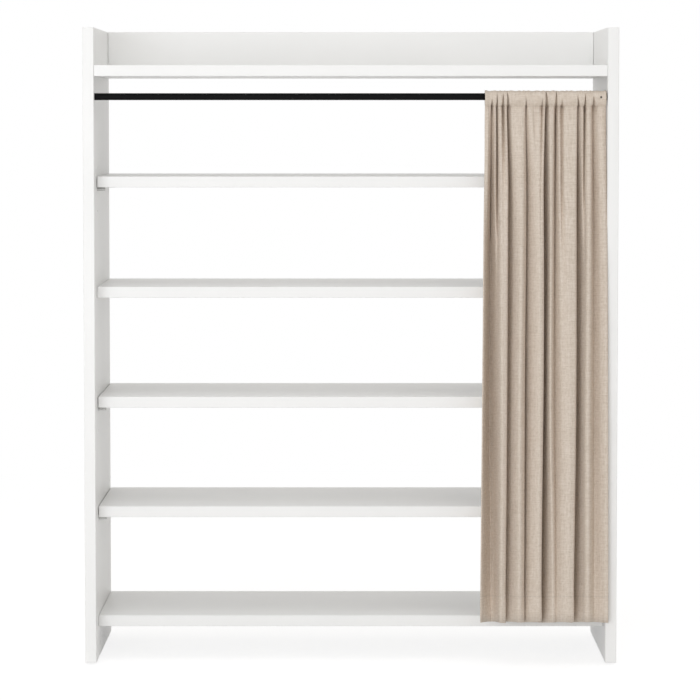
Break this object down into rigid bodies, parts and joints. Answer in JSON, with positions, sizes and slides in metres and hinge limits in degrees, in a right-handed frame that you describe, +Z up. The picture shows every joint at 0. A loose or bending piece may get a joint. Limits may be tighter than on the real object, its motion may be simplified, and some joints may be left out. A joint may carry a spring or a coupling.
{
  "type": "curtained shoe cabinet",
  "caption": "Open shoe cabinet with side panels, a top shelf with a back rail, fixed and loose shelves, and a linen curtain gathered on a rod.",
  "frame": {"origin": "bottom centre of the whole object's box, on the floor", "axes": "+Z up, +X to the right seen from the front, -Y out of the open front"},
  "size_m": [0.768, 0.302, 0.92],
  "materials": {
    "white_board": "white melamine foil on particle board, satin",
    "black_steel": "black powder coat, satin",
    "zinc_steel": "zinc plated",
    "linen": "plain woven heathered linen, matte",
    "grey_plastic": "moulded, matte",
    "beech": "raw"
  },
  "bodies": {
    "carcass": {"left_side_panel": "white_board", "right_side_panel": "white_board", "top_shelf": "white_board", "back_rail": "white_board", "shelf_2": "white_board", "shelf_5": "white_board", "curtain_rod": "black_steel", "curtain": "linen", "shelf_pin_1_front_left": "zinc_steel", "shelf_pin_1_front_right": "zinc_steel", "shelf_pin_1_rear_left": "zinc_steel", "shelf_pin_1_rear_right": "zinc_steel", "shelf_pin_3_front_left": "zinc_steel", "shelf_pin_3_front_right": "zinc_steel", "shelf_pin_3_rear_left": "zinc_steel", "shelf_pin_3_rear_right": "zinc_steel", "shelf_pin_4_front_left": "zinc_steel", "shelf_pin_4_front_right": "zinc_steel", "shelf_pin_4_rear_left": "zinc_steel", "shelf_pin_4_rear_right": "zinc_steel", "cam_bolt_top_shelf_front_left": "zinc_steel", "cam_bolt_top_shelf_front_right": "zinc_steel", "cam_bolt_top_shelf_rear_left": "zinc_steel", "cam_bolt_top_shelf_rear_right": "zinc_steel", "cam_bolt_shelf_2_front_left": "zinc_steel", "cam_bolt_shelf_2_front_right": "zinc_steel", "cam_bolt_shelf_2_rear_left": "zinc_steel", "cam_bolt_shelf_2_rear_right": "zinc_steel", "cam_bolt_shelf_5_front_left": "zinc_steel", "cam_bolt_shelf_5_front_right": "zinc_steel", "cam_bolt_shelf_5_rear_left": "zinc_steel", "cam_bolt_shelf_5_rear_right": "zinc_steel", "cam_bolt_back_rail_left": "zinc_steel", "cam_bolt_back_rail_right": "zinc_steel", "cam_lock_top_shelf_front_left": "zinc_steel", "cam_lock_top_shelf_front_right": "zinc_steel", "cam_lock_top_shelf_rear_left": "zinc_steel", "cam_lock_top_shelf_rear_right": "zinc_steel", "cam_lock_shelf_2_front_left": "zinc_steel", "cam_lock_shelf_2_front_right": "zinc_steel", "cam_lock_shelf_2_rear_left": "zinc_steel", "cam_lock_shelf_2_rear_right": "zinc_steel", "cam_lock_shelf_5_front_left": "zinc_steel", "cam_lock_shelf_5_front_right": "zinc_steel", "cam_lock_shelf_5_rear_left": "zinc_steel", "cam_lock_shelf_5_rear_right": "zinc_steel", "cam_lock_back_rail_left": "zinc_steel", "cam_lock_back_rail_right": "zinc_steel", "dowel_left": "beech", "glide_front_left": "grey_plastic", "glide_rear_left": "grey_plastic", "dowel_right": "beech", "glide_front_right": "grey_plastic", "glide_rear_right": "grey_plastic"},
    "loose_shelf_1": {"shelf_1": "white_board"},
    "loose_shelf_3": {"shelf_3": "white_board"},
    "loose_shelf_4": {"shelf_4": "white_board"},
    "curtain_lead": {"curtain_side_hem": "linen"}
  },
  "joints": [
    {"name": "shelf_1_lift", "type": "slide", "parent": "carcass", "child": "loose_shelf_1", "axis": [0, 0, 1], "range_m": [0, 0.143]},
    {"name": "shelf_3_lift", "type": "slide", "parent": "carcass", "child": "loose_shelf_3", "axis": [0, 0, 1], "range_m": [0, 0.143]},
    {"name": "shelf_4_lift", "type": "slide", "parent": "carcass", "child": "loose_shelf_4", "axis": [0, 0, 1], "range_m": [0, 0.1376]},
    {"name": "curtain_draw", "type": "slide", "parent": "carcass", "child": "curtain_lead", "axis": [-1, 0, 0], "range_m": [0, 0.553], "deforming": ["curtain"]}
  ]
}
